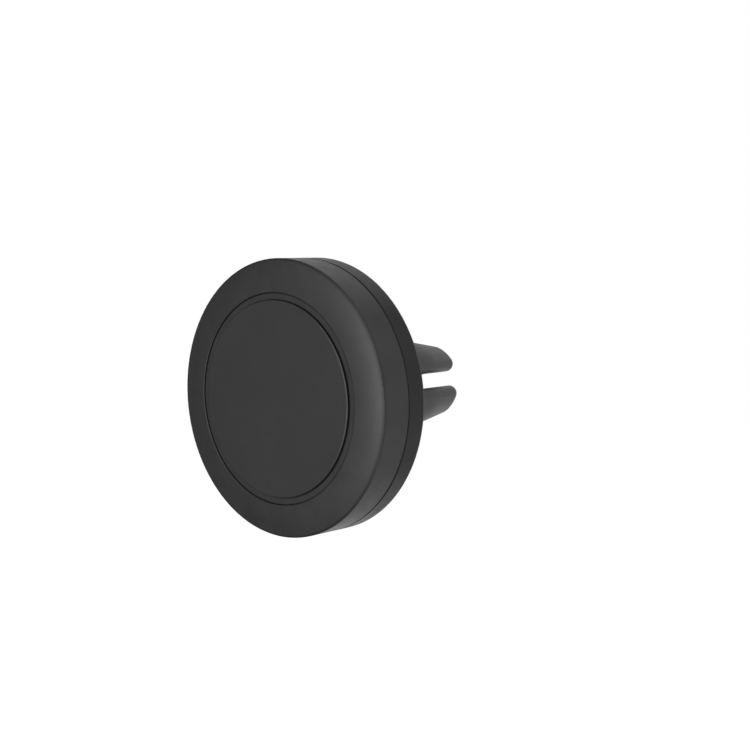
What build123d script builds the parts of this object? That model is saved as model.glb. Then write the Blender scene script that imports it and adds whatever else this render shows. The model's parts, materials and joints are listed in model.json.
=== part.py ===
from build123d import *
from math import cos, radians, sin
import os

# A magnetic phone mount that clips into the louvres of a car's air vent.
#
# Frame, in millimetres: the origin is the centre of the grip pad's front face, +Y runs from
# that face through the ball joint to the tips of the vent clip, and +Z is up. Nearly every
# piece is round about the Y axis, so its profile is drawn in the XY plane, with X as the
# radius, and revolved.

# Head: two moulded shells round a ring of magnets
HEAD_R = 22.0
SHELL_WALL = 1.6
CORNER_R = 19.0  # the front shell is thicker between its face and its side
CORNER_Y = 3.2
RIM_Y = 1.35  # where the domed front meets the side
RIM_ROUND = 0.35
SEAM_Y = 7.08  # the line between the two shells
SEAM_GAP = 0.12
SEAM_CHAMFER = 0.12
SEAM_R = 21.86  # the side tapers a little from the rim to the back
BACK_Y = 10.9
BACK_R = 21.76
BACK_ROUND = 0.7
BACK_WALL = 1.7
BACK_RECESS = 0.3  # a shallow step in the back, round the stud's thrust face
BACK_RECESS_R = 19.2
THRUST_FACE_R = 6.2
DOME_START_SLOPE = 1.5  # degrees, beside the pad

# Grip pad, in a round recess in the front
PAD_R = 15.55
PAD_T = 0.4
PAD_ROUND = 0.2
RECESS_R = 16.67
LIP_Y = 0.27
LIP_ROUND = 0.15
ADHESIVE_R = 15.2
ADHESIVE_T = 0.1
FLOOR_Y = PAD_T + ADHESIVE_T
FLOOR_T = 1.35

# Magnets in their carrier, with a steel yoke behind them
MAGNET_COUNT = 6
MAGNET_R = 4.0
MAGNET_T = 2.5
MAGNET_RING_R = 12.3
MAGNET_FIT = 0.05
MAGNET_CHAMFER = 0.2
CARRIER_R = 18.8
CARRIER_Y = FLOOR_Y + FLOOR_T
CARRIER_HOLE_R = 5.5
YOKE_Y = CARRIER_Y + MAGNET_T
YOKE_R = 18.5
YOKE_T = 1.0
YOKE_HOLE_R = 3.5

# Screws that hold the two shells together, from under the pad
SCREW_COUNT = 3
SCREW_RING_R = 13.7
SCREW_START = 30.0  # degrees, between two magnets
SCREW_R = 1.0
SCREW_HEAD_R = 1.8
SCREW_HEAD_T = 0.8
SCREW_CLEARANCE_R = 1.15
SCREW_END_Y = 8.5
SCREW_POINT = 0.6
DRIVE_LENGTH = 1.9
DRIVE_WIDTH = 0.45
DRIVE_DEPTH = 0.5
BOSS_R = 2.3
BOSS_Y = YOKE_Y + YOKE_T

# Tongue of the rear shell, inside the front shell
TONGUE_FIT = 0.1
TONGUE_T = 1.1
TONGUE_Y = 5.6

# Ribs of the rear shell, from its hub to the screw bosses
RIB_T = 1.0
RIB_Y = 7.2
RIB_START_R = 5.7

# Swivel: the ball stud's journal turns in the rear shell
JOURNAL_R = 3.0
RUNNING_FIT = 0.05
HUB_R = 6.2
HUB_Y = 8.8
THRUST_WASHER_R = 5.2
THRUST_WASHER_T = 0.4
SPRING_T = 0.3
SPRING_R = 4.9
JOURNAL_Y = 7.9
STOP_WASHER_R = 5.0
STOP_WASHER_T = 0.5
STOP_WASHER_ROUND = 0.1
STUD_SCREW_R = 1.1
STUD_SCREW_HEAD_R = 2.4
STUD_SCREW_HEAD_T = 1.4
STUD_SCREW_ROUND = 0.6
STUD_SCREW_END_Y = 12.6

# Ball stud
BALL_Y = 18.2
BALL_R = 5.0
NECK_R = 2.3
FLANGE_R = 4.0
FLANGE_T = 0.8
NECK_TAPER = 0.9

# Plastic liner between the ball and the collet, a part of a sphere
LINER_IN_R = BALL_R + RUNNING_FIT
LINER_OUT_R = 5.75
LINER_FRONT = 115.0  # degrees from +Y, at the ball's centre
LINER_BACK = 20.0
SLIT_W = 0.7
SLIT_COUNT = 4

# Collet cup on the front of the clip
CUP_R = LINER_OUT_R + RUNNING_FIT
CUP_MOUTH = 126.0  # degrees from +Y
COLLET_FRONT_R = 6.3
COLLET_ROOT_R = 7.6
COLLET_ROOT_Y = 18.5
COLLET_SLIT_START = 45.0  # degrees, between the liner's slits
THREAD_H = 0.5
THREAD_PITCH = 1.2
THREAD_TURNS = 2
THREAD_Y = 18.8
THREAD_CREST = 0.2
SHOULDER_R = 9.4
SHOULDER_Y = 21.5
SHOULDER_T = 1.9
SHOULDER_ROUND = 0.3
CLIP_BASE_R = 7.3

# Lock nut round the collet
NUT_R = 10.2
NUT_FRONT_Y = 14.4
NUT_BACK_Y = 21.2
NUT_FRONT_R = 8.5
NUT_FIT = 0.15
NUT_CHAMFER = 0.6
NUT_FLUTES = 12
FLUTE_R = 1.5
FLUTE_DEPTH = 0.55
FLUTE_ROUND = 0.3

# Four prongs, cut by a wide level slot and a narrow upright slot
SLOT_FLOOR_Y = 25.2
WIDE_SLOT = 2.4
NARROW_SLOT = 1.7
PRONG_ROOT_R = 7.25
PRONG_BEND_Y = 28.6
PRONG_BEND_R = 7.22
PRONG_TAPER_Y = 32.0  # from here to the tip the outside is a cone
PRONG_TAPER_R = 6.9
PRONG_TAPER = 10.1  # degrees
PRONG_TIP_Y = 38.5
PRONG_TIP_ROUND = 2.4
PRONG_ROUND = 1.3
SLEEVE_T = 1.0
FINGER_ROOT_Y = 24.2


def section(y):
    """The plane across the axis at y. Its x is X, its y is Z and it faces the phone."""
    return Plane.XZ.offset(-y)


def on_ball(radius, from_axis):
    """A profile point round the ball's centre, at an angle in degrees from +Y."""
    return (radius * sin(radians(from_axis)), BALL_Y + radius * cos(radians(from_axis)))


def circles(builder):
    """The circular edges of a part in the making, smallest first."""
    return builder.edges().filter_by(GeomType.CIRCLE).sort_by(SortBy.RADIUS)


def save(piece, name):
    """Labels a finished piece and writes it under its own name."""
    piece.label = name
    export_step(piece, f"parts/{name}.step")


os.makedirs("parts", exist_ok=True)


# ---- Head -------------------------------------------------------------------------------

with BuildPart() as grip_pad:
    with BuildSketch(section(0)):
        Circle(PAD_R)
    extrude(amount=-PAD_T)
    fillet(grip_pad.edges().group_by(Axis.Y)[0], PAD_ROUND)
save(grip_pad.part, "grip_pad")

with BuildPart() as pad_adhesive:
    with BuildSketch(section(PAD_T)):
        Circle(ADHESIVE_R)
    extrude(amount=-ADHESIVE_T)
save(pad_adhesive.part, "pad_adhesive")

FRONT_END_Y = SEAM_Y - SEAM_GAP / 2
INNER_R = HEAD_R - SHELL_WALL

with BuildPart() as front_shell:
    with BuildSketch(Plane.XY):
        with BuildLine():
            Polyline((0, FLOOR_Y), (RECESS_R, FLOOR_Y), (RECESS_R, LIP_Y))
            TangentArc(
                (RECESS_R, LIP_Y),
                (HEAD_R, RIM_Y),
                tangent=(cos(radians(DOME_START_SLOPE)), sin(radians(DOME_START_SLOPE))),
            )
            Polyline(
                (HEAD_R, RIM_Y),
                (SEAM_R, FRONT_END_Y),
                (INNER_R, FRONT_END_Y),
                (INNER_R, CORNER_Y),
                (CORNER_R, CARRIER_Y),
                (0, CARRIER_Y),
                (0, FLOOR_Y),
            )
        make_face()
    revolve(axis=Axis.Y)
    chamfer(circles(front_shell)[-2:].sort_by(Axis.Y)[-1], SEAM_CHAMFER)
    fillet(circles(front_shell)[-1], RIM_ROUND)
    fillet(circles(front_shell).filter_by(lambda edge: edge.center().Y < LIP_Y + 0.01), LIP_ROUND)
    with Locations(section(FLOOR_Y)):
        with PolarLocations(SCREW_RING_R, SCREW_COUNT, start_angle=SCREW_START):
            CounterSinkHole(SCREW_CLEARANCE_R, SCREW_HEAD_R, depth=FLOOR_T * 2)
save(front_shell.part, "front_shell")

with BuildPart() as magnet_carrier:
    with BuildSketch(section(CARRIER_Y)):
        Circle(CARRIER_R)
        Circle(CARRIER_HOLE_R, mode=Mode.SUBTRACT)
        with PolarLocations(MAGNET_RING_R, MAGNET_COUNT):
            Circle(MAGNET_R + MAGNET_FIT, mode=Mode.SUBTRACT)
        with PolarLocations(SCREW_RING_R, SCREW_COUNT, start_angle=SCREW_START):
            Circle(SCREW_CLEARANCE_R, mode=Mode.SUBTRACT)
    extrude(amount=-MAGNET_T)
save(magnet_carrier.part, "magnet_carrier")

for number in range(MAGNET_COUNT):
    with BuildPart() as magnet:
        with BuildSketch(section(CARRIER_Y)):
            with PolarLocations(MAGNET_RING_R, 1, start_angle=number * 360 / MAGNET_COUNT):
                Circle(MAGNET_R)
        extrude(amount=-MAGNET_T)
        chamfer(magnet.edges().filter_by(GeomType.CIRCLE), MAGNET_CHAMFER)
    save(magnet.part, f"magnet_{number + 1}")

with BuildPart() as yoke_plate:
    with BuildSketch(section(YOKE_Y)):
        Circle(YOKE_R)
        Circle(YOKE_HOLE_R, mode=Mode.SUBTRACT)
        with PolarLocations(SCREW_RING_R, SCREW_COUNT, start_angle=SCREW_START):
            Circle(SCREW_CLEARANCE_R, mode=Mode.SUBTRACT)
    extrude(amount=-YOKE_T)
save(yoke_plate.part, "yoke_plate")

TONGUE_OUT_R = INNER_R - TONGUE_FIT
TONGUE_IN_R = TONGUE_OUT_R - TONGUE_T
REAR_START_Y = SEAM_Y + SEAM_GAP / 2
CAVITY_BACK_Y = BACK_Y - BACK_WALL

with BuildPart() as rear_shell:
    with BuildSketch(Plane.XY):
        with BuildLine():
            Polyline(
                (JOURNAL_R + RUNNING_FIT, BACK_Y),
                (THRUST_FACE_R, BACK_Y),
                (THRUST_FACE_R, BACK_Y - BACK_RECESS),
                (BACK_RECESS_R, BACK_Y - BACK_RECESS),
                (BACK_RECESS_R + BACK_RECESS, BACK_Y),
                (BACK_R, BACK_Y),
                (SEAM_R, REAR_START_Y),
                (TONGUE_OUT_R, REAR_START_Y),
                (TONGUE_OUT_R, TONGUE_Y),
                (TONGUE_IN_R, TONGUE_Y),
                (TONGUE_IN_R, CAVITY_BACK_Y),
                (HUB_R, CAVITY_BACK_Y),
                (HUB_R, HUB_Y),
                (JOURNAL_R + RUNNING_FIT, HUB_Y),
                close=True,
            )
        make_face()
    revolve(axis=Axis.Y)
    chamfer(circles(rear_shell)[-1], SEAM_CHAMFER)
    fillet(circles(rear_shell).filter_by(lambda edge: edge.center().Y > BACK_Y - 0.01)[-1], BACK_ROUND)
    with BuildSketch(section(BOSS_Y)):
        with PolarLocations(SCREW_RING_R, SCREW_COUNT, start_angle=SCREW_START):
            Circle(BOSS_R)
    extrude(amount=-(CAVITY_BACK_Y - BOSS_Y))
    with BuildSketch(section(RIB_Y)):
        with PolarLocations(RIB_START_R, SCREW_COUNT, start_angle=SCREW_START):
            Rectangle(SCREW_RING_R - RIB_START_R, RIB_T, align=(Align.MIN, Align.CENTER))
    extrude(amount=-(CAVITY_BACK_Y - RIB_Y))
    with Locations(section(BOSS_Y)):
        with PolarLocations(SCREW_RING_R, SCREW_COUNT, start_angle=SCREW_START):
            Hole(SCREW_R, depth=SCREW_END_Y - BOSS_Y)
save(rear_shell.part, "rear_shell")

with BuildPart() as shell_screw:
    length = SCREW_END_Y - FLOOR_Y
    with BuildSketch(Plane.XZ):
        with BuildLine():
            Polyline(
                (0, 0),
                (SCREW_HEAD_R, 0),
                (SCREW_R, SCREW_R - SCREW_HEAD_R),
                (SCREW_R, SCREW_POINT - length),
                (SCREW_R / 2, -length),
                (0, -length),
                close=True,
            )
        make_face()
    revolve(axis=Axis.Z)
    with BuildSketch(Plane.XY):
        Rectangle(DRIVE_LENGTH, DRIVE_WIDTH)
        Rectangle(DRIVE_WIDTH, DRIVE_LENGTH)
    extrude(amount=-DRIVE_DEPTH, mode=Mode.SUBTRACT)

with BuildPart() as shell_screws:
    with Locations(section(FLOOR_Y)):
        with PolarLocations(SCREW_RING_R, SCREW_COUNT, start_angle=SCREW_START):
            add(shell_screw.part)
save(shell_screws.part, "shell_screws")

with BuildPart() as thrust_washer:
    with BuildSketch(section(HUB_Y)):
        Circle(THRUST_WASHER_R)
        Circle(JOURNAL_R + RUNNING_FIT, mode=Mode.SUBTRACT)
    extrude(amount=THRUST_WASHER_T)
save(thrust_washer.part, "thrust_washer")


# ---- Ball stud, with the screw and spring that hold the head on its journal ----------------

with BuildPart() as ball_stud:
    neck_y = BALL_Y - (BALL_R**2 - NECK_R**2) ** 0.5
    with BuildSketch(Plane.XY):
        with BuildLine():
            Polyline(
                (0, BALL_Y + BALL_R),
                (0, JOURNAL_Y),
                (JOURNAL_R, JOURNAL_Y),
                (JOURNAL_R, BACK_Y + RUNNING_FIT),
                (FLANGE_R, BACK_Y + RUNNING_FIT),
                (FLANGE_R, BACK_Y + FLANGE_T),
                (NECK_R, BACK_Y + FLANGE_T + NECK_TAPER),
                (NECK_R, neck_y),
            )
            ThreePointArc((NECK_R, neck_y), (BALL_R, BALL_Y), (0, BALL_Y + BALL_R))
        make_face()
    revolve(axis=Axis.Y)
    with BuildSketch(section(JOURNAL_Y)):
        Circle(STUD_SCREW_R)
    extrude(amount=-(STUD_SCREW_END_Y - JOURNAL_Y), mode=Mode.SUBTRACT)
save(ball_stud.part, "ball_stud")

STOP_WASHER_Y = JOURNAL_Y - STOP_WASHER_T

with BuildPart() as stop_washer:
    with BuildSketch(section(JOURNAL_Y)):
        Circle(STOP_WASHER_R)
        Circle(STUD_SCREW_R, mode=Mode.SUBTRACT)
    extrude(amount=STOP_WASHER_T)
    fillet(circles(stop_washer)[-2:], STOP_WASHER_ROUND)
save(stop_washer.part, "stop_washer")

SPRING_END_Y = HUB_Y - THRUST_WASHER_T - RUNNING_FIT

with BuildPart() as disc_spring:
    inner = JOURNAL_R + RUNNING_FIT
    with BuildSketch(Plane.XY):
        with BuildLine():
            Polyline(
                (inner, JOURNAL_Y),
                (SPRING_R, SPRING_END_Y - SPRING_T),
                (SPRING_R, SPRING_END_Y),
                (inner, JOURNAL_Y + SPRING_T),
                close=True,
            )
        make_face()
    revolve(axis=Axis.Y)
save(disc_spring.part, "disc_spring")

with BuildPart() as stud_screw:
    head_y = STOP_WASHER_Y - STUD_SCREW_HEAD_T
    with BuildSketch(section(STOP_WASHER_Y)):
        Circle(STUD_SCREW_HEAD_R)
    extrude(amount=STUD_SCREW_HEAD_T)
    fillet(stud_screw.edges().sort_by(Axis.Y)[0], STUD_SCREW_ROUND)
    with BuildSketch(section(STOP_WASHER_Y)):
        Circle(STUD_SCREW_R)
    extrude(amount=-(STUD_SCREW_END_Y - STOP_WASHER_Y))
    with BuildSketch(section(head_y)):
        Rectangle(DRIVE_LENGTH, DRIVE_WIDTH)
        Rectangle(DRIVE_WIDTH, DRIVE_LENGTH)
    extrude(amount=-DRIVE_DEPTH, mode=Mode.SUBTRACT)
save(stud_screw.part, "stud_screw")


# ---- Liner between the ball and the collet -------------------------------------------------

with BuildPart() as ball_liner:
    with BuildSketch(Plane.XY):
        with BuildLine():
            Line(on_ball(LINER_IN_R, LINER_BACK), on_ball(LINER_OUT_R, LINER_BACK))
            RadiusArc(on_ball(LINER_OUT_R, LINER_BACK), on_ball(LINER_OUT_R, LINER_FRONT), LINER_OUT_R)
            Line(on_ball(LINER_OUT_R, LINER_FRONT), on_ball(LINER_IN_R, LINER_FRONT))
            RadiusArc(on_ball(LINER_IN_R, LINER_FRONT), on_ball(LINER_IN_R, LINER_BACK), -LINER_IN_R)
        make_face()
    revolve(axis=Axis.Y)
    with BuildSketch(section(BALL_Y - BALL_R)):
        with PolarLocations(0, SLIT_COUNT // 2, angular_range=180):
            Rectangle(CUP_R * 2, SLIT_W)
    extrude(amount=-BALL_R, mode=Mode.SUBTRACT)
save(ball_liner.part, "ball_liner")


# ---- Vent clip: collet cup, thread, shoulder and four fingers in one moulding ---------------

def prong(inset, root_y):
    """The upper prong on the +X side, or the finger inside it, cut from the round envelope."""
    normal = Vector(1, 0).rotate(Axis.Z, PRONG_TAPER)
    tip_start_y = PRONG_TIP_Y - PRONG_TIP_ROUND * (1 - normal.Y)
    tip_start_r = PRONG_TAPER_R - (tip_start_y - PRONG_TAPER_Y) * normal.Y / normal.X
    tip_centre = Vector(tip_start_r, tip_start_y) - normal * PRONG_TIP_ROUND
    with BuildPart() as piece:
        with BuildSketch(Plane.XY):
            with BuildLine():
                Polyline(
                    (0, PRONG_TIP_Y - inset),
                    (0, root_y),
                    (PRONG_ROOT_R - inset, root_y),
                    (PRONG_BEND_R - inset, PRONG_BEND_Y),
                )
                TangentArc(
                    (PRONG_BEND_R - inset, PRONG_BEND_Y),
                    (PRONG_TAPER_R - inset, PRONG_TAPER_Y),
                    tangent=(PRONG_BEND_R - PRONG_ROOT_R, PRONG_BEND_Y - root_y),
                )
                round_tip = CenterArc(
                    tip_centre, PRONG_TIP_ROUND - inset, PRONG_TAPER, 90 - PRONG_TAPER
                )
                Line((PRONG_TAPER_R - inset, PRONG_TAPER_Y), round_tip @ 0)
                Line(round_tip @ 1, (0, PRONG_TIP_Y - inset))
            make_face()
        revolve(axis=Axis.Y)
        with BuildSketch(section(PRONG_TIP_Y)):
            with Locations((NARROW_SLOT / 2 + inset, WIDE_SLOT / 2 + inset)):
                Rectangle(PRONG_ROOT_R, PRONG_ROOT_R, align=(Align.MIN, Align.MIN))
        extrude(amount=PRONG_TIP_Y - root_y, mode=Mode.INTERSECT)
    return piece.part


def thread_rings(gap):
    """The rings that stand for the collet's thread, grown by a gap for the nut's grooves."""
    with BuildPart() as rings:
        for turn in range(THREAD_TURNS):
            crest_y = THREAD_Y + (turn + 0.5) * THREAD_PITCH
            half_root = THREAD_H + gap
            half_crest = THREAD_CREST / 2 + gap
            with BuildSketch(Plane.XY):
                with BuildLine():
                    Polyline(
                        (COLLET_ROOT_R - THREAD_CREST, crest_y - half_root),
                        (COLLET_ROOT_R + gap, crest_y - half_root),
                        (COLLET_ROOT_R + THREAD_H + gap, crest_y - half_crest),
                        (COLLET_ROOT_R + THREAD_H + gap, crest_y + half_crest),
                        (COLLET_ROOT_R + gap, crest_y + half_root),
                        (COLLET_ROOT_R - THREAD_CREST, crest_y + half_root),
                        close=True,
                    )
                make_face()
            revolve(axis=Axis.Y)
    return rings.part


with BuildPart() as clip_core:
    with BuildSketch(Plane.XY):
        with BuildLine():
            RadiusArc(on_ball(CUP_R, CUP_MOUTH), on_ball(CUP_R, 0), -CUP_R)
            Polyline(
                on_ball(CUP_R, 0),
                (0, SLOT_FLOOR_Y),
                (CLIP_BASE_R, SLOT_FLOOR_Y),
                (SHOULDER_R, SHOULDER_Y + SHOULDER_T),
                (SHOULDER_R, SHOULDER_Y),
                (COLLET_ROOT_R, SHOULDER_Y),
                (COLLET_ROOT_R, COLLET_ROOT_Y),
                (COLLET_FRONT_R, on_ball(CUP_R, CUP_MOUTH)[1]),
                on_ball(CUP_R, CUP_MOUTH),
            )
        make_face()
    revolve(axis=Axis.Y)
    add(thread_rings(0))
    with BuildSketch(section(BALL_Y - CUP_R)):
        with PolarLocations(0, SLIT_COUNT // 2, start_angle=COLLET_SLIT_START, angular_range=180):
            Rectangle(SHOULDER_R * 2, SLIT_W)
    extrude(amount=-CUP_R, mode=Mode.SUBTRACT)
    finger = prong(SLEEVE_T, FINGER_ROOT_Y)
    upper = finger + mirror(finger, about=Plane.YZ)
    add(upper)
    add(mirror(upper, about=Plane.XY))
    fillet(circles(clip_core)[-2:], SHOULDER_ROUND)
save(clip_core.part, "clip_core")

with BuildPart() as sleeve:
    add(prong(0, SLOT_FLOOR_Y))
    fillet(sleeve.edges().filter_by(lambda edge: edge.center().Y > SLOT_FLOOR_Y + 1), PRONG_ROUND)
    add(finger, mode=Mode.SUBTRACT)

beside = mirror(sleeve.part, about=Plane.YZ)
sleeves = [sleeve.part, beside, mirror(beside, about=Plane.XY), mirror(sleeve.part, about=Plane.XY)]
for number, piece in enumerate(sleeves):
    with BuildPart() as prong_sleeve:
        add(piece)
    save(prong_sleeve.part, f"prong_sleeve_{number + 1}")


# ---- Lock nut ------------------------------------------------------------------------------

with BuildPart() as lock_nut:
    collet_front_y = on_ball(CUP_R, CUP_MOUTH)[1]
    with BuildSketch(Plane.XY):
        with BuildLine():
            Polyline(
                (COLLET_FRONT_R + NUT_FIT, NUT_FRONT_Y),
                (NUT_FRONT_R, NUT_FRONT_Y),
                (NUT_R, NUT_FRONT_Y + NUT_R - NUT_FRONT_R),
                (NUT_R, NUT_BACK_Y - NUT_CHAMFER),
                (NUT_R - NUT_CHAMFER, NUT_BACK_Y),
                (COLLET_ROOT_R + NUT_FIT, NUT_BACK_Y),
                (COLLET_ROOT_R + NUT_FIT, COLLET_ROOT_Y),
                (COLLET_FRONT_R + NUT_FIT, collet_front_y),
                close=True,
            )
        make_face()
    revolve(axis=Axis.Y)
    add(thread_rings(NUT_FIT), mode=Mode.SUBTRACT)
    with BuildSketch(section(NUT_FRONT_Y)):
        with PolarLocations(NUT_R + FLUTE_R - FLUTE_DEPTH, NUT_FLUTES):
            Circle(FLUTE_R)
    extrude(amount=-(NUT_BACK_Y - NUT_FRONT_Y), mode=Mode.SUBTRACT)
    fillet(lock_nut.edges().filter_by(Axis.Y).filter_by(lambda edge: edge.length > FLUTE_R), FLUTE_ROUND)
save(lock_nut.part, "lock_nut")
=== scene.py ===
import json
from math import cos, hypot, pi, radians, sin

import bmesh
import bpy
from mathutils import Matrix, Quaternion, Vector


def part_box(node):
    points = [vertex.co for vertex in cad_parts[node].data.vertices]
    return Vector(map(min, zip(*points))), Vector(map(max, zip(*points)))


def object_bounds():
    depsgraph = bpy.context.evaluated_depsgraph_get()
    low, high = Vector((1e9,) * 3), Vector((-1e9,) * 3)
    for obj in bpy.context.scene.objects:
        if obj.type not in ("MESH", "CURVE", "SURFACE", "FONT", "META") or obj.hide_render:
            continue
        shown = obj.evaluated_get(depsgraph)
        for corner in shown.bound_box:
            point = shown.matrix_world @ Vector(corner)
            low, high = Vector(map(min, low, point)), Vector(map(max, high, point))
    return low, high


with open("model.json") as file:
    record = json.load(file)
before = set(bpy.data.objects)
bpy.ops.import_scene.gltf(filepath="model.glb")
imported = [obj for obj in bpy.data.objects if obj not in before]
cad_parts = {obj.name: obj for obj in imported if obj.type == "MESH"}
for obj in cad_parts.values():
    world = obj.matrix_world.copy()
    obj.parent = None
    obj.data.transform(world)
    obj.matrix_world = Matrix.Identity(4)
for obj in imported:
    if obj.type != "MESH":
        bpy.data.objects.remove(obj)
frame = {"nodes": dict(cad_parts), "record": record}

# A magnetic phone mount for a car's air vent, in metres. The mount's axis is +Y, from the
# grip pad on the phone side to the prongs that hold the vent, and +Z is up. Every piece of
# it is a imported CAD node. This script gives each one its finish, and adds the studio, the
# lights and the camera.

MM = 0.001
CAD_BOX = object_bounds()
CENTRE = (CAD_BOX[0] + CAD_BOX[1]) / 2
NODES = frame["nodes"]


# ---------------------------------------------------------------- places on the CAD pieces

# Vertices this near to an edge are taken as lying on it
RADIUS_SLACK = 0.02 * MM
DEPTH_SLACK = 0.005 * MM


def rings(node):
    """The (radius, depth) of every vertex of a round piece, in metres, without repeats."""
    return {(hypot(v.co.x, v.co.z), v.co.y) for v in NODES[node].data.vertices}


def widest_ring(node, at_front):
    """The (radius, depth) where a round piece's side begins, at its front or at its back."""
    places = rings(node)
    widest = max(radius for radius, _ in places)
    depths = [depth for radius, depth in places if radius > widest - RADIUS_SLACK]
    return widest, min(depths) if at_front else max(depths)


def front_ring(node):
    """The (radius, depth) of a round piece's foremost edge."""
    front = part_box(node)[0].y
    return max(radius for radius, depth in rings(node) if depth < front + DEPTH_SLACK), front


def moved(ring, outward, back):
    """A (radius, depth) ring moved outward and back by so many millimetres."""
    return ring[0] + outward * MM, ring[1] + back * MM


HEAD_RIM = widest_ring("front_shell", at_front=True)
SEAM = moved(widest_ring("rear_shell", at_front=True), outward=0.0, back=-0.18)
BACK_EDGE = moved(widest_ring("rear_shell", at_front=False), outward=-0.2, back=0.0)
PAD_FOOT = (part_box("grip_pad")[1].x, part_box("grip_pad")[1].y)
SHELL_LIP = front_ring("front_shell")
NUT_INSET = 0.3 * MM  # how far the nut's rubbed edges lie inside its outline
NUT_FRONT = (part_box("lock_nut")[1].x - NUT_INSET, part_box("lock_nut")[0].y + NUT_INSET)
NUT_BACK = (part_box("lock_nut")[1].x - NUT_INSET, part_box("lock_nut")[1].y - NUT_INSET)


# ---------------------------------------------------------------- shader helpers

def feed(tree, socket, value):
    """Sets a socket, or links it when the value is a socket itself."""
    if isinstance(value, bpy.types.NodeSocket):
        tree.links.new(value, socket)
    else:
        socket.default_value = value


def add(tree, kind, **settings):
    """A new shader node. Settings that begin with a capital are its sockets."""
    node = tree.nodes.new("ShaderNode" + kind)
    for name, value in settings.items():
        if name[0].isupper():
            feed(tree, node.inputs[name.replace("_", " ")], value)
        else:
            setattr(node, name, value)
    return node


def calculate(tree, operation, *values):
    """A Math node's result. Each value is a number or a socket."""
    node = add(tree, "Math", operation=operation)
    for socket, value in zip(node.inputs, values):
        feed(tree, socket, value)
    return node.outputs[0]


def position_in_mm(tree):
    """The point of the surface at rest, in millimetres, so that scales are per millimetre."""
    place = add(tree, "TexCoord").outputs["Object"]
    return stretched(tree, place, (1 / MM, 1 / MM, 1 / MM))


def stretched(tree, place, scale):
    """A place with its three coordinates scaled."""
    return add(tree, "Mapping", Vector=place, Scale=scale).outputs["Vector"]


def noise(tree, place, per_mm, detail, roughness=0.5):
    node = add(tree, "TexNoise", Vector=place, Scale=per_mm, Detail=detail, Roughness=roughness)
    return node.outputs["Fac"]


def cells(tree, place, per_mm):
    """How far a point is from the nearest of many scattered points, in their spacing."""
    return add(tree, "TexVoronoi", Vector=place, Scale=per_mm).outputs["Distance"]


def spread(tree, value, low, high, start=0.3, end=0.7):
    """The value, which mostly lies from start to end, moved to run from low to high."""
    node = add(
        tree, "MapRange", Value=value, From_Min=start, From_Max=end, To_Min=low, To_Max=high
    )
    return node.outputs["Result"]


def between(tree, share, dark, light):
    """A colour from dark to light. Each is a colour or a socket."""
    node = add(tree, "Mix", data_type="RGBA")
    tree.links.new(share, node.inputs["Factor"])
    for name, colour in (("A", dark), ("B", light)):
        socket = [s for s in node.inputs if s.name == name and s.type == "RGBA"][0]
        feed(tree, socket, (*colour, 1.0) if isinstance(colour, tuple) else colour)
    return [s for s in node.outputs if s.type == "RGBA"][0]


def radius_and_depth(tree, place):
    """How far a point is from the mount's axis and how far along it, in millimetres."""
    split = add(tree, "SeparateXYZ", Vector=place)
    across = add(tree, "CombineXYZ", X=split.outputs["X"], Y=split.outputs["Z"])
    length = add(tree, "VectorMath", operation="LENGTH", Vector=across.outputs[0])
    return length.outputs["Value"], split.outputs["Y"]


def along_ring(tree, place, ring, width):
    """1 on a (radius, depth) ring round the axis, fading to 0 over about the width in mm."""
    radius, depth = radius_and_depth(tree, place)
    squares = []
    for value, centre in ((radius, ring[0] / MM), (depth, ring[1] / MM)):
        away = calculate(tree, "SUBTRACT", value, centre)
        squares.append(calculate(tree, "MULTIPLY", away, away))
    total = calculate(tree, "ADD", *squares)
    return calculate(tree, "EXPONENT", calculate(tree, "DIVIDE", total, -width * width))


def rough_up(tree, shader, height, value):
    """Bump from a 0 to 1 value, with its height in mm."""
    bump = add(tree, "Bump", Strength=1.0, Distance=height * MM, Height=value)
    tree.links.new(bump.outputs["Normal"], shader.inputs["Normal"])


def scaled(colour, factor):
    return tuple(channel * factor for channel in colour)


def new_material(name):
    """A material with one Principled shader, as (material, node tree, shader)."""
    material = bpy.data.materials.new(name)
    material.use_nodes = True
    tree = material.node_tree
    return material, tree, tree.nodes["Principled BSDF"]


# ---------------------------------------------------------------- kinds of finish

# Painted shade for the creases, rim and seam: a near-black colour and a matt roughness
CREASE_SHADE_COLOUR = (0.0010, 0.0010, 0.0010)
CREASE_SHADE_ROUGHNESS = 0.9
WEAR = 0.8  # share of the worn colour where an edge is rubbed most
WORN_LIGHTENING = 1.6
WORN_POLISH = 0.10  # how much less rough a rubbed edge is
FLECKS_PER_MM = 6.0
FLECK_LIGHTENING = 4.0
PLASTIC_UNEVENNESS = 0.04  # how far a finish's roughness strays either way
RUBBER_UNEVENNESS = 0.05
RUBBER_MOTTLING = 0.07  # how far a finish's colour strays either way
PEBBLES_PER_MM = 7.0
PEBBLE_HEIGHT = 0.006  # heights of bumps are in mm
SHEEN_ROUGHNESS = 0.5
STAIN = 0.1  # how much darker a metal's stains are
METAL_PIT_HEIGHT = 0.001
FIBRE_HEIGHT = 0.008


def mottled(tree, place, colour, variation, **texture):
    """The colour, going unevenly from a little darker to a little lighter."""
    share = spread(tree, noise(tree, place, **texture), 0.0, 1.0)
    return between(tree, share, scaled(colour, 1 - variation), scaled(colour, 1 + variation))


def uneven(tree, place, middle, unevenness, **texture):
    """A roughness that strays by the unevenness to either side of its middle."""
    value = noise(tree, place, **texture)
    return spread(tree, value, middle - unevenness, middle + unevenness)


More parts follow.
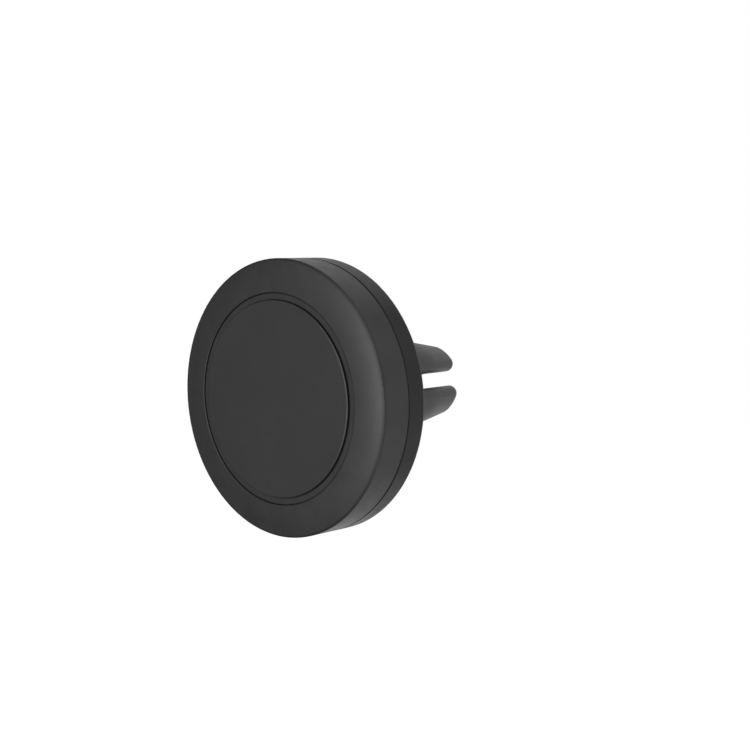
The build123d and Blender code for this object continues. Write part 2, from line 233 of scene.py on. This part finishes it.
def paint_crease_shade(tree, shader, place, creases, colours, gloss):
    """The colour and roughness with painted shade in the creases, each a (ring, width in mm,
    share).
    The painted shade is matt and near black, and as a dark metal it mirrors nothing, so the
    creases lose their gloss as well."""
    if not creases:
        return colours, gloss
    painted_shade = 0.0
    for ring, width, share in creases:
        deep = calculate(tree, "MULTIPLY", along_ring(tree, place, ring, width), share)
        painted_shade = calculate(tree, "MAXIMUM", deep, painted_shade)
    tree.links.new(painted_shade, shader.inputs["Metallic"])
    matt = spread(tree, painted_shade, gloss, CREASE_SHADE_ROUGHNESS, start=0.0, end=1.0)
    return between(tree, painted_shade, colours, CREASE_SHADE_COLOUR), matt


def rub_edges(tree, place, colour, worn, colours, gloss):
    """The colours and roughness with the worn edges greyed and polished in patches."""
    rubbed = 0.0
    for ring, width in worn:
        rubbed = calculate(tree, "MAXIMUM", along_ring(tree, place, ring, width), rubbed)
    patches = noise(tree, place, per_mm=1.3, detail=5.0, roughness=0.7)
    rubbed = calculate(tree, "MULTIPLY", rubbed, spread(tree, patches, 0.25, 1.0))
    share = calculate(tree, "MULTIPLY", rubbed, WEAR)
    polish = calculate(tree, "MULTIPLY", rubbed, WORN_POLISH)
    colours = between(tree, share, colours, scaled(colour, WORN_LIGHTENING))
    return colours, calculate(tree, "SUBTRACT", gloss, polish)


def moulded_plastic(
    name, colour, roughness, grain=5.0, grain_height=0.004, variation=0.12, worn=(),
    flecks=0.0, creases=(),
):
    """Moulded plastic: a spark-eroded grain, uneven gloss, faint mottling and rubbed edges.
    worn lists (ring, width in mm) places where handling has polished and greyed it."""
    material, tree, shader = new_material(name)
    place = position_in_mm(tree)
    colours = mottled(tree, place, colour, variation, per_mm=0.25, detail=4.0, roughness=0.6)
    if flecks:
        dots = cells(tree, place, FLECKS_PER_MM)
        near = spread(tree, dots, flecks, 0.0, start=0.05, end=0.2)
        colours = between(tree, near, colours, scaled(colour, FLECK_LIGHTENING))
    gloss = uneven(tree, place, roughness, PLASTIC_UNEVENNESS, per_mm=0.6, detail=5.0)
    if worn:
        colours, gloss = rub_edges(tree, place, colour, worn, colours, gloss)
    # Painted shade darkens the listed creases and takes away their gloss
    colours, gloss = paint_crease_shade(tree, shader, place, creases, colours, gloss)
    tree.links.new(colours, shader.inputs["Base Color"])
    tree.links.new(gloss, shader.inputs["Roughness"])
    grains = noise(tree, place, per_mm=grain, detail=3.0, roughness=0.65)
    rough_up(tree, shader, grain_height, grains)
    return material


def rubber(name, colour, roughness, sheen, creases=()):
    """Silicone or soft rubber: a fine pebbled skin, smudges, and a little sheen if asked."""
    material, tree, shader = new_material(name)
    place = position_in_mm(tree)
    colours = mottled(
        tree, place, colour, RUBBER_MOTTLING, per_mm=0.12, detail=5.0, roughness=0.55
    )
    gloss = uneven(
        tree, place, roughness, RUBBER_UNEVENNESS, per_mm=0.9, detail=6.0, roughness=0.7
    )
    # Painted shade darkens the listed creases and takes away their gloss
    colours, gloss = paint_crease_shade(tree, shader, place, creases, colours, gloss)
    tree.links.new(colours, shader.inputs["Base Color"])
    tree.links.new(gloss, shader.inputs["Roughness"])
    rough_up(tree, shader, PEBBLE_HEIGHT, cells(tree, place, PEBBLES_PER_MM))
    shader.inputs["Sheen Weight"].default_value = sheen
    shader.inputs["Sheen Roughness"].default_value = SHEEN_ROUGHNESS
    return material


def metal(name, colour, roughness, turned=0.0, brushed=0.0):
    """Plated or bare metal. turned draws lathe lines round the axis and brushed draws rolling
    lines along X, each as a depth in mm."""
    material, tree, shader = new_material(name)
    place = position_in_mm(tree)
    share = spread(tree, noise(tree, place, per_mm=0.5, detail=5.0, roughness=0.6), 0.0, 1.0)
    colours = between(tree, share, scaled(colour, 1 - STAIN), colour)
    tree.links.new(colours, shader.inputs["Base Color"])
    shader.inputs["Metallic"].default_value = 1.0
    fine = noise(tree, place, per_mm=2.5, detail=5.0, roughness=0.7)
    gloss = spread(tree, fine, roughness * 0.75, roughness * 1.3)
    tree.links.new(gloss, shader.inputs["Roughness"])
    if turned:
        radius, depth = radius_and_depth(tree, place)
        lathe = add(tree, "CombineXYZ", X=radius, Y=depth).outputs[0]
        lines = noise(tree, lathe, per_mm=14.0, detail=3.0, roughness=0.7)
        rough_up(tree, shader, turned, lines)
    elif brushed:
        rolled = stretched(tree, place, (0.15, 6.0, 9.0))
        lines = noise(tree, rolled, per_mm=1.0, detail=4.0, roughness=0.7)
        rough_up(tree, shader, brushed, lines)
    else:
        rough_up(tree, shader, METAL_PIT_HEIGHT, noise(tree, place, per_mm=6.0, detail=4.0))
    return material


def adhesive(name, colour):
    """A milky double-sided film, with the fibres of its carrier."""
    material, tree, shader = new_material(name)
    along_fibres = stretched(tree, position_in_mm(tree), (0.6, 1.0, 4.0))
    fibres = noise(tree, along_fibres, per_mm=1.5, detail=6.0, roughness=0.7)
    share = spread(tree, fibres, 0.0, 1.0)
    colours = between(tree, share, scaled(colour, 0.8), colour)
    tree.links.new(colours, shader.inputs["Base Color"])
    tree.links.new(spread(tree, fibres, 0.35, 0.6), shader.inputs["Roughness"])
    rough_up(tree, shader, FIBRE_HEIGHT, fibres)
    return material


# ---------------------------------------------------------------- the finish of each slot

SHELL_BLACK = (0.0190, 0.0190, 0.0190)
REAR_SHADE_SHARE = 0.18  # the rear shell's black is the front's, darkened as painted shade for its darker band
PAD_BLACK = (0.0190, 0.0190, 0.0190)
RUBBER_GREY = (0.0400, 0.0400, 0.0400)
BARE_STEEL = (0.55, 0.56, 0.57)

# Lines of painted shade in the creases, at the rim and along the seam: ring, width in mm, and
# the share of painted shade at the middle
LIP_SHADE = (moved(SHELL_LIP, outward=-0.15, back=0.18), 0.14, 0.95)
GROOVE_SHADE = (moved(PAD_FOOT, outward=-0.02, back=0.1), 0.10, 0.85)
RIM_SHADE = (moved(HEAD_RIM, outward=-0.1, back=-0.1), 0.30, 0.35)
SEAM_SHADE = (SEAM, 0.20, 0.8)
PAD_SHADE = (moved(PAD_FOOT, outward=-0.04, back=-0.09), 0.20, 0.92)


def make_finishes():
    """A material for each of the record's slots."""
    return {
        "front_plastic": moulded_plastic(
            "front_plastic", SHELL_BLACK, 0.40,
            # painted shade in the lip and groove creases, at the rim and along the seam
            creases=[LIP_SHADE, GROOVE_SHADE, RIM_SHADE, SEAM_SHADE],
        ),
        "rear_plastic": moulded_plastic(
            # the front's black darkened: painted shade on the rear band
            "rear_plastic", scaled(SHELL_BLACK, REAR_SHADE_SHARE), 0.40,
            # painted shade along the seam
            worn=[(BACK_EDGE, 0.4)], creases=[SEAM_SHADE],
        ),
        "pad_silicone": rubber(
            # painted shade round the foot of the pad
            "pad_silicone", PAD_BLACK, 0.40, sheen=0.0, creases=[PAD_SHADE]
        ),
        "adhesive_film": adhesive("adhesive_film", (0.75, 0.74, 0.70)),
        "carrier_plastic": moulded_plastic(
            "carrier_plastic", (0.05, 0.05, 0.05), 0.5, grain=3.0, flecks=0.25
        ),
        "magnet_nickel": metal("magnet_nickel", (0.72, 0.70, 0.66), 0.18),
        "yoke_steel": metal("yoke_steel", BARE_STEEL, 0.32, brushed=0.004),
        "screw_steel": metal("screw_steel", (0.35, 0.35, 0.36), 0.30),
        "washer_plastic": moulded_plastic(
            "washer_plastic", (0.80, 0.79, 0.75), 0.35, variation=0.03, grain_height=0.002
        ),
        "washer_steel": metal("washer_steel", BARE_STEEL, 0.28, turned=0.003),
        "spring_steel": metal("spring_steel", (0.36, 0.37, 0.40), 0.25, turned=0.002),
        "stud_metal": metal("stud_metal", (0.62, 0.62, 0.64), 0.16, turned=0.002),
        "liner_plastic": moulded_plastic(
            "liner_plastic", (0.16, 0.16, 0.16), 0.38, variation=0.06, grain_height=0.002
        ),
        "nylon_black": moulded_plastic(
            "nylon_black", (0.030, 0.030, 0.030), 0.48, grain=4.0, grain_height=0.006, flecks=0.3
        ),
        "nut_plastic": moulded_plastic(
            "nut_plastic", (0.024, 0.024, 0.0245), 0.42, worn=[(NUT_FRONT, 0.6), (NUT_BACK, 0.6)]
        ),
        "prong_rubber": rubber("prong_rubber", RUBBER_GREY, 0.42, sheen=0.05),
    }


def dress_nodes():
    """Gives each CAD node the finish of its slot in the record."""
    finishes = make_finishes()
    slot_of = {part["node"]: part["material_slot"] for part in frame["record"]["subparts"]}
    for node, piece in NODES.items():
        piece.data.materials.clear()
        piece.data.materials.append(finishes[slot_of[node]])


# ---------------------------------------------------------------- camera

# The camera stands to the right of the phone side, level with the mount, and leans a little
CAMERA_AZIMUTH = 43.03
CAMERA_ELEVATION = -0.80
CAMERA_ROLL = -7.33
CAMERA_DISTANCE = 313.4 * MM
CAMERA_AIM = CENTRE + Vector((11.01, -7.65, 1.79)) * MM
CAMERA_LENS = 96.0
NEAREST_SEEN, FARTHEST_SEEN = 0.01, 50.0


def direction(azimuth, elevation):
    """The unit vector from the mount to a place round it. Azimuth 0 is -Y and 90 is +X."""
    a, e = radians(azimuth), radians(elevation)
    return Vector((sin(a) * cos(e), -cos(a) * cos(e), sin(e)))


def link(thing):
    bpy.context.scene.collection.objects.link(thing)
    return thing


def add_camera():
    data = bpy.data.cameras.new("camera")
    data.lens = CAMERA_LENS
    data.clip_start, data.clip_end = NEAREST_SEEN, FARTHEST_SEEN
    camera = link(bpy.data.objects.new("camera", data))
    back = direction(CAMERA_AZIMUTH, CAMERA_ELEVATION)
    camera.location = CAMERA_AIM + back * CAMERA_DISTANCE
    camera.rotation_mode = "QUATERNION"
    lean = Quaternion((0, 0, 1), radians(CAMERA_ROLL))
    camera.rotation_quaternion = (-back).to_track_quat("-Z", "Y") @ lean
    bpy.context.scene.camera = camera


# ---------------------------------------------------------------- studio

WHITE = (1, 1, 1, 1)
FLOOR_DROP = 0.30  # the floor lies well under the mount, so no shadow of it shows
FLOOR_RADIUS = 8.0
FLOOR_SIDES = 96
FLOOR_GREY = (0.9, 0.9, 0.9, 1)
FLOOR_ROUGHNESS = 0.9
FLOOR_GLOW = 0.9
FILL = 0.155  # light from all round, on the mount
BACKDROP = 1.0  # brightness of the white that the camera sees
LIGHT_DISTANCE = 0.6

# Soft boxes round the mount: azimuth, elevation, width and height in metres, brightness
SOFT_BOXES = {
    "key": (28.0, 0.0, 0.8, 0.8, 3.20),
    "right_high": (80.0, 45.0, 0.6, 0.5, 1.40),
    "right_low": (80.0, -45.0, 0.6, 0.5, 1.45),
    "left_front": (-20.0, 5.0, 0.4, 0.8, 0.48),
    "top": (20.0, 75.0, 0.5, 0.5, 0.28),
    "back_left": (-155.0, 5.0, 0.7, 0.8, 0.53),
    "back_right": (140.0, 0.0, 0.6, 0.8, 0.34),
    "back_high": (180.0, 60.0, 0.5, 0.5, 0.35),
    "back_low_left": (-150.0, -40.0, 0.5, 0.5, 0.42),
    "back_low_right": (150.0, -50.0, 0.5, 0.5, 0.29),
}


def add_soft_box(name, azimuth, elevation, width, height, brightness):
    """A rectangular light that faces the mount. Brightness is its radiance."""
    data = bpy.data.lights.new(name, "AREA")
    data.shape = "RECTANGLE"
    data.size, data.size_y = width, height
    data.energy = brightness * pi * width * height
    light = link(bpy.data.objects.new(name, data))
    away = direction(azimuth, elevation)
    light.location = CENTRE + away * LIGHT_DISTANCE
    light.rotation_mode = "QUATERNION"
    light.rotation_quaternion = away.to_track_quat("Z", "Y")


def add_surroundings():
    """A white backdrop for the camera, which lights the mount only by the fill."""
    world = bpy.data.worlds.new("surroundings")
    bpy.context.scene.world = world
    world.use_nodes = True
    tree = world.node_tree
    background = tree.nodes["Background"]
    background.inputs["Color"].default_value = WHITE
    seen = add(tree, "LightPath").outputs["Is Camera Ray"]
    strength = spread(tree, seen, FILL, BACKDROP, start=0.0, end=1.0)
    tree.links.new(strength, background.inputs["Strength"])


def add_floor():
    """A plain pale floor. It is only seen, so that it adds no light of its own."""
    material, tree, shader = new_material("pale_floor")
    shader.inputs["Base Color"].default_value = FLOOR_GREY
    shader.inputs["Roughness"].default_value = FLOOR_ROUGHNESS
    shader.inputs["Emission Color"].default_value = WHITE
    shader.inputs["Emission Strength"].default_value = FLOOR_GLOW
    mesh = bpy.data.meshes.new("floor")
    shape = bmesh.new()
    bmesh.ops.create_circle(shape, cap_ends=True, radius=FLOOR_RADIUS, segments=FLOOR_SIDES)
    shape.to_mesh(mesh)
    shape.free()
    mesh.materials.append(material)
    floor = link(bpy.data.objects.new("floor", mesh))
    floor.location = (0, 0, -FLOOR_DROP)
    floor.visible_diffuse = floor.visible_glossy = floor.visible_shadow = False


dress_nodes()
add_camera()
add_surroundings()
add_floor()
for box_name, box_values in SOFT_BOXES.items():
    add_soft_box(box_name, *box_values)
bpy.context.scene.view_settings.view_transform = "Standard"
